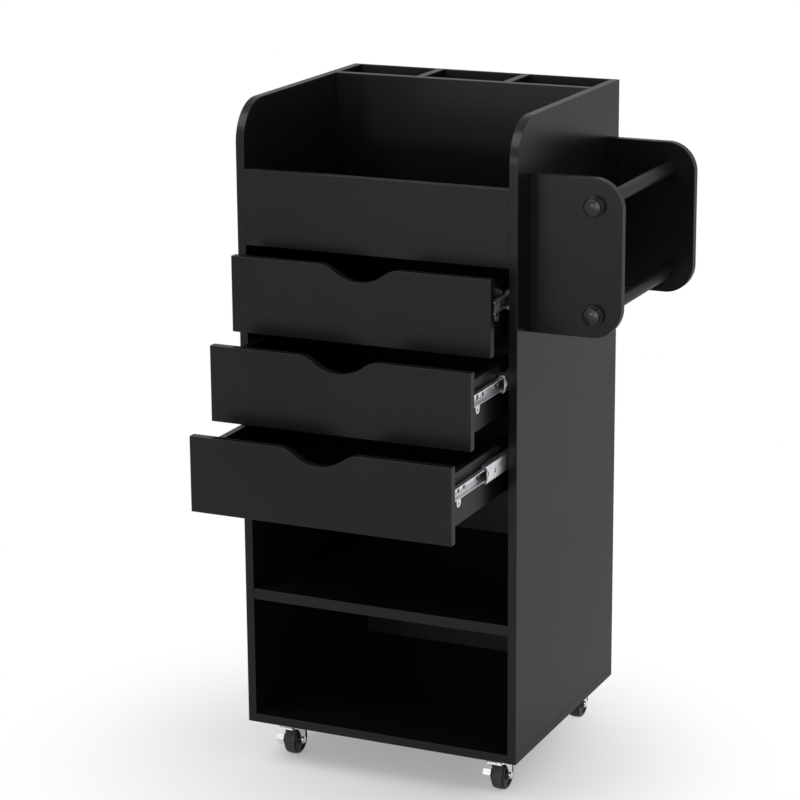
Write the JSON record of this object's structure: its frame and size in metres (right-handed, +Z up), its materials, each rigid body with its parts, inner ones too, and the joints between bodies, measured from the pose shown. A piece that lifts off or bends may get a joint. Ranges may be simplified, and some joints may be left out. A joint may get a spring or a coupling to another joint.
{
  "type": "mobile storage cart with drawers",
  "caption": "Tall rolling storage cabinet: open top tray with rear cells, drawers with scooped fronts on ball slides, open shelf bays and a side rod holder.",
  "frame": {"origin": "on the floor, under the centre of the bounding box at rest", "axes": "+Z up, -Y towards the drawer fronts, +X towards the side holder"},
  "size_m": [0.5254, 0.541, 0.9283],
  "materials": {
    "black_board": "satin black melamine on particle board",
    "black_hardboard": "matt black hardboard",
    "black_rod": "satin black lacquer on turned wood",
    "black_knob": "satin black moulded plastic",
    "zinc_steel": "bright zinc plate",
    "cage_steel": "greased steel strip",
    "plated_steel": "bright plated pressed steel",
    "black_wheel": "semi-matt black moulded plastic"
  },
  "bodies": {
    "carcass": {"bottom_board": "black_board", "left_side_panel": "black_board", "right_side_panel": "black_board", "middle_shelf": "black_board", "upper_cross_rail": "black_board", "lower_cross_rail": "black_board", "tray_floor": "black_board", "tray_front_board": "black_board", "tray_partition": "black_board", "left_cell_divider": "black_board", "right_cell_divider": "black_board", "holder_front_plate": "black_board", "holder_rear_plate": "black_board", "back_panel": "black_hardboard", "upper_holder_rod": "black_rod", "lower_holder_rod": "black_rod", "holder_knobs": "black_knob", "cam_covers": "black_knob", "cabinet_slides": "zinc_steel", "caster_plates": "plated_steel", "caster_kingpins": "plated_steel", "caster_screws": "plated_steel"},
    "upper_drawer": {"upper_drawer_front": "black_board", "upper_drawer_left_side": "black_board", "upper_drawer_right_side": "black_board", "upper_drawer_back": "black_board", "upper_drawer_bottom": "black_hardboard", "upper_drawer_slides": "zinc_steel"},
    "upper_slide_middle": {"upper_middle_slides": "zinc_steel", "upper_ball_cages": "cage_steel"},
    "middle_drawer": {"middle_drawer_front": "black_board", "middle_drawer_left_side": "black_board", "middle_drawer_right_side": "black_board", "middle_drawer_back": "black_board", "middle_drawer_bottom": "black_hardboard", "middle_drawer_slides": "zinc_steel"},
    "middle_slide_middle": {"middle_middle_slides": "zinc_steel", "middle_ball_cages": "cage_steel"},
    "lower_drawer": {"lower_drawer_front": "black_board", "lower_drawer_left_side": "black_board", "lower_drawer_right_side": "black_board", "lower_drawer_back": "black_board", "lower_drawer_bottom": "black_hardboard", "lower_drawer_slides": "zinc_steel"},
    "lower_slide_middle": {"lower_middle_slides": "zinc_steel", "lower_ball_cages": "cage_steel"},
    "front_left_swivel": {"front_left_fork": "plated_steel", "front_left_axle": "plated_steel"},
    "front_left_roller": {"front_left_wheel": "black_wheel"},
    "front_left_pedal": {"front_left_brake": "plated_steel"},
    "front_right_swivel": {"front_right_fork": "plated_steel", "front_right_axle": "plated_steel"},
    "front_right_roller": {"front_right_wheel": "black_wheel"},
    "front_right_pedal": {"front_right_brake": "plated_steel"},
    "rear_left_swivel": {"rear_left_fork": "plated_steel", "rear_left_axle": "plated_steel"},
    "rear_left_roller": {"rear_left_wheel": "black_wheel"},
    "rear_right_swivel": {"rear_right_fork": "plated_steel", "rear_right_axle": "plated_steel"},
    "rear_right_roller": {"rear_right_wheel": "black_wheel"}
  },
  "joints": [
    {"name": "upper_drawer_pull", "type": "slide", "parent": "carcass", "child": "upper_drawer", "axis": [0, -1, 0], "range_m": [-0.05, 0.24]},
    {"name": "upper_slide_extension", "type": "slide", "parent": "carcass", "child": "upper_slide_middle", "axis": [0, -1, 0], "range_m": [-0.025, 0.12]},
    {"name": "middle_drawer_pull", "type": "slide", "parent": "carcass", "child": "middle_drawer", "axis": [0, -1, 0], "range_m": [-0.114, 0.176]},
    {"name": "middle_slide_extension", "type": "slide", "parent": "carcass", "child": "middle_slide_middle", "axis": [0, -1, 0], "range_m": [-0.057, 0.088]},
    {"name": "lower_drawer_pull", "type": "slide", "parent": "carcass", "child": "lower_drawer", "axis": [0, -1, 0], "range_m": [-0.175, 0.115]},
    {"name": "lower_slide_extension", "type": "slide", "parent": "carcass", "child": "lower_slide_middle", "axis": [0, -1, 0], "range_m": [-0.0875, 0.0575]},
    {"name": "front_left_swivel_turn", "type": "hinge", "parent": "carcass", "child": "front_left_swivel", "pos_m": [-0.21975, -0.055, 0.0503], "axis": [0, 0, 1], "continuous": true},
    {"name": "front_left_wheel_spin", "type": "hinge", "parent": "front_left_swivel", "child": "front_left_roller", "pos_m": [-0.21975, -0.0375, 0.021], "axis": [1, 0, 0], "continuous": true},
    {"name": "front_left_brake_press", "type": "hinge", "parent": "front_left_swivel", "child": "front_left_pedal", "pos_m": [-0.21975, -0.0375, 0.021], "axis": [1, 0, 0], "range_deg": [0, 15]},
    {"name": "front_right_swivel_turn", "type": "hinge", "parent": "carcass", "child": "front_right_swivel", "pos_m": [0.09425, -0.055, 0.0503], "axis": [0, 0, 1], "continuous": true},
    {"name": "front_right_wheel_spin", "type": "hinge", "parent": "front_right_swivel", "child": "front_right_roller", "pos_m": [0.09425, -0.0375, 0.021], "axis": [1, 0, 0], "continuous": true},
    {"name": "front_right_brake_press", "type": "hinge", "parent": "front_right_swivel", "child": "front_right_pedal", "pos_m": [0.09425, -0.0375, 0.021], "axis": [1, 0, 0], "range_deg": [0, 15]},
    {"name": "rear_left_swivel_turn", "type": "hinge", "parent": "carcass", "child": "rear_left_swivel", "pos_m": [-0.21975, 0.23, 0.0503], "axis": [0, 0, 1], "continuous": true},
    {"name": "rear_left_wheel_spin", "type": "hinge", "parent": "rear_left_swivel", "child": "rear_left_roller", "pos_m": [-0.21975, 0.2475, 0.021], "axis": [1, 0, 0], "continuous": true},
    {"name": "rear_right_swivel_turn", "type": "hinge", "parent": "carcass", "child": "rear_right_swivel", "pos_m": [0.09425, 0.23, 0.0503], "axis": [0, 0, 1], "continuous": true},
    {"name": "rear_right_wheel_spin", "type": "hinge", "parent": "rear_right_swivel", "child": "rear_right_roller", "pos_m": [0.09425, 0.2475, 0.021], "axis": [1, 0, 0], "continuous": true}
  ],
  "couplings": [
    {"joint": "upper_slide_extension", "follows": "upper_drawer_pull", "ratio": 0.5},
    {"joint": "middle_slide_extension", "follows": "middle_drawer_pull", "ratio": 0.5},
    {"joint": "lower_slide_extension", "follows": "lower_drawer_pull", "ratio": 0.5}
  ]
}
